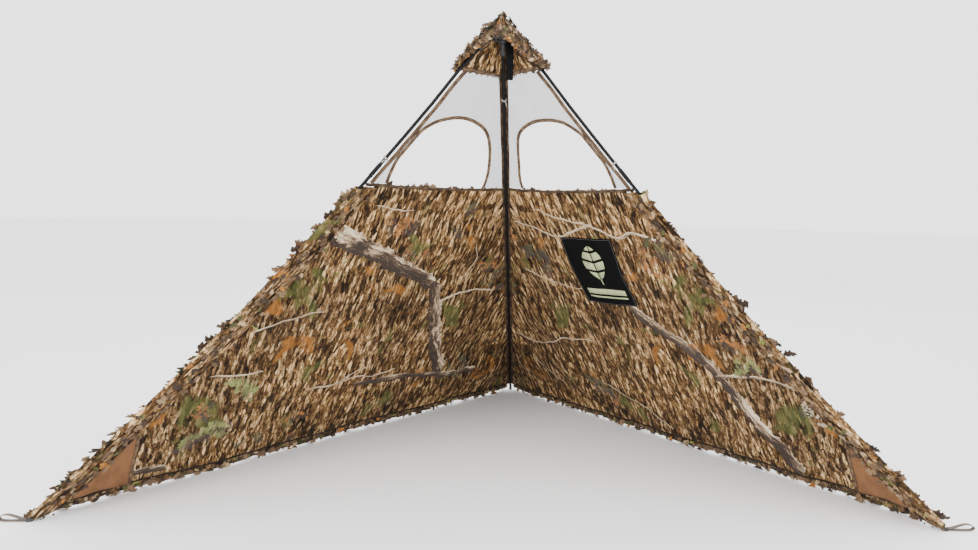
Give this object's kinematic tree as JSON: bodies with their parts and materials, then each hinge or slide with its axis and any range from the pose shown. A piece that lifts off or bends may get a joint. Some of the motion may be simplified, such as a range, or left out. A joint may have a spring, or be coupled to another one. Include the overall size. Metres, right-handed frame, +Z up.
{
  "type": "ground blind",
  "caption": "Folding ground blind: three hinged poles on a hub hold two leafy cloth panels with mesh-framed windows under a hood.",
  "frame": {"origin": "centre of the bounding box on the ground", "axes": "+Z up, +X to the user's right across the two side feet, +Y from the open side towards the centre foot"},
  "size_m": [2.736, 1.3703, 1.411],
  "materials": {
    "pole": "satin black fibreglass",
    "hub_plastic": "satin",
    "steel": "plated",
    "foot_plastic": "matte",
    "cord": "braided elastic",
    "camo_print": "printed woven polyester",
    "leaf_cloth": "printed cloth cut into leaves",
    "mesh": "pale see-through mesh",
    "binding": "printed binding tape",
    "gusset_cloth": "plain woven polyester",
    "webbing": "woven webbing",
    "elastic": "woven elastic"
  },
  "bodies": {
    "hub": {"hub_body": "hub_plastic", "hub_cover": "hub_plastic", "hub_screw": "steel", "hub_pin_left": "steel", "hub_pin_right": "steel", "hub_pin_centre": "steel", "cap": "leaf_cloth", "cap_binding": "binding", "pull_strap": "webbing"},
    "leg_left": {"knuckle_left": "hub_plastic", "pole_left_1": "pole", "pole_left_2": "pole", "pole_left_3": "pole", "pole_left_4": "pole", "shock_cord_left": "cord", "foot_tip_left": "foot_plastic", "tie_left": "elastic", "pole_sleeve_left": "leaf_cloth", "stake_loop_left": "webbing"},
    "leg_right": {"knuckle_right": "hub_plastic", "pole_right_1": "pole", "pole_right_2": "pole", "pole_right_3": "pole", "pole_right_4": "pole", "shock_cord_right": "cord", "foot_tip_right": "foot_plastic", "tie_right": "elastic", "pole_sleeve_right": "leaf_cloth", "stake_loop_right": "webbing"},
    "leg_centre": {"knuckle_centre": "hub_plastic", "pole_centre_1": "pole", "pole_centre_2": "pole", "pole_centre_3": "pole", "pole_centre_4": "pole", "shock_cord_centre": "cord", "foot_tip_centre": "foot_plastic", "tie_centre": "elastic", "vertex_tape": "binding"},
    "cloth_left_outer": {"camo_panel_left_outer": "camo_print", "leaf_shell_left_outer": "leaf_cloth", "window_mesh_left_outer": "mesh", "window_binding_left_outer": "binding", "gusset_left": "gusset_cloth", "edge_binding_left": "binding"},
    "cloth_left_inner": {"camo_panel_left_inner": "camo_print", "leaf_shell_left_inner": "leaf_cloth", "window_mesh_left_inner": "mesh", "window_binding_left_inner": "binding"},
    "cloth_right_outer": {"camo_panel_right_outer": "camo_print", "leaf_shell_right_outer": "leaf_cloth", "window_mesh_right_outer": "mesh", "window_binding_right_outer": "binding", "gusset_right": "gusset_cloth", "edge_binding_right": "binding"},
    "cloth_right_inner": {"camo_panel_right_inner": "camo_print", "leaf_shell_right_inner": "leaf_cloth", "window_mesh_right_inner": "mesh", "window_binding_right_inner": "binding"}
  },
  "joints": [
    {"name": "leg_centre_fold", "type": "hinge", "parent": "hub", "child": "leg_centre", "pos_m": [0, -0.5837, 1.34614], "axis": [-1, 0, 0], "range_deg": [0, 38]},
    {"name": "leg_left_fold", "type": "hinge", "parent": "hub", "child": "leg_left", "pos_m": [-0.02697, -0.612, 1.34614], "axis": [0.0482, -0.9988, 0], "range_deg": [0, 38]},
    {"name": "leg_right_fold", "type": "hinge", "parent": "hub", "child": "leg_right", "pos_m": [0.02697, -0.612, 1.34614], "axis": [0.0482, 0.9988, 0], "range_deg": [0, 38]},
    {"name": "cloth_left_outer_swing", "type": "hinge", "parent": "leg_left", "child": "cloth_left_outer", "pos_m": [-0.02697, -0.612, 1.34614], "axis": [0.6824, 0.0329, 0.7302], "range_deg": [0, 73.5], "deforming": ["camo_panel_left_outer", "leaf_shell_left_outer", "window_mesh_left_outer", "window_binding_left_outer", "gusset_left", "edge_binding_left"]},
    {"name": "cloth_left_inner_swing", "type": "hinge", "parent": "leg_centre", "child": "cloth_left_inner", "pos_m": [0, -0.5837, 1.34614], "axis": [0, 0.6832, -0.7302], "range_deg": [0, 73.5], "deforming": ["camo_panel_left_inner", "leaf_shell_left_inner", "window_mesh_left_inner", "window_binding_left_inner"]},
    {"name": "cloth_right_outer_swing", "type": "hinge", "parent": "leg_right", "child": "cloth_right_outer", "pos_m": [0.02697, -0.612, 1.34614], "axis": [0.6824, -0.0329, -0.7302], "range_deg": [0, 73.5], "deforming": ["camo_panel_right_outer", "leaf_shell_right_outer", "window_mesh_right_outer", "window_binding_right_outer", "gusset_right", "edge_binding_right"]},
    {"name": "cloth_right_inner_swing", "type": "hinge", "parent": "leg_centre", "child": "cloth_right_inner", "pos_m": [0, -0.5837, 1.34614], "axis": [0, -0.6832, 0.7302], "range_deg": [0, 73.5], "deforming": ["camo_panel_right_inner", "leaf_shell_right_inner", "window_mesh_right_inner", "window_binding_right_inner"]}
  ],
  "couplings": [
    {"joint": "leg_left_fold", "follows": "leg_centre_fold", "ratio": 1},
    {"joint": "leg_right_fold", "follows": "leg_centre_fold", "ratio": 1},
    {"joint": "cloth_left_outer_swing", "follows": "leg_centre_fold", "ratio": 1.9342},
    {"joint": "cloth_left_inner_swing", "follows": "leg_centre_fold", "ratio": 1.9342},
    {"joint": "cloth_right_outer_swing", "follows": "leg_centre_fold", "ratio": 1.9342},
    {"joint": "cloth_right_inner_swing", "follows": "leg_centre_fold", "ratio": 1.9342}
  ]
}
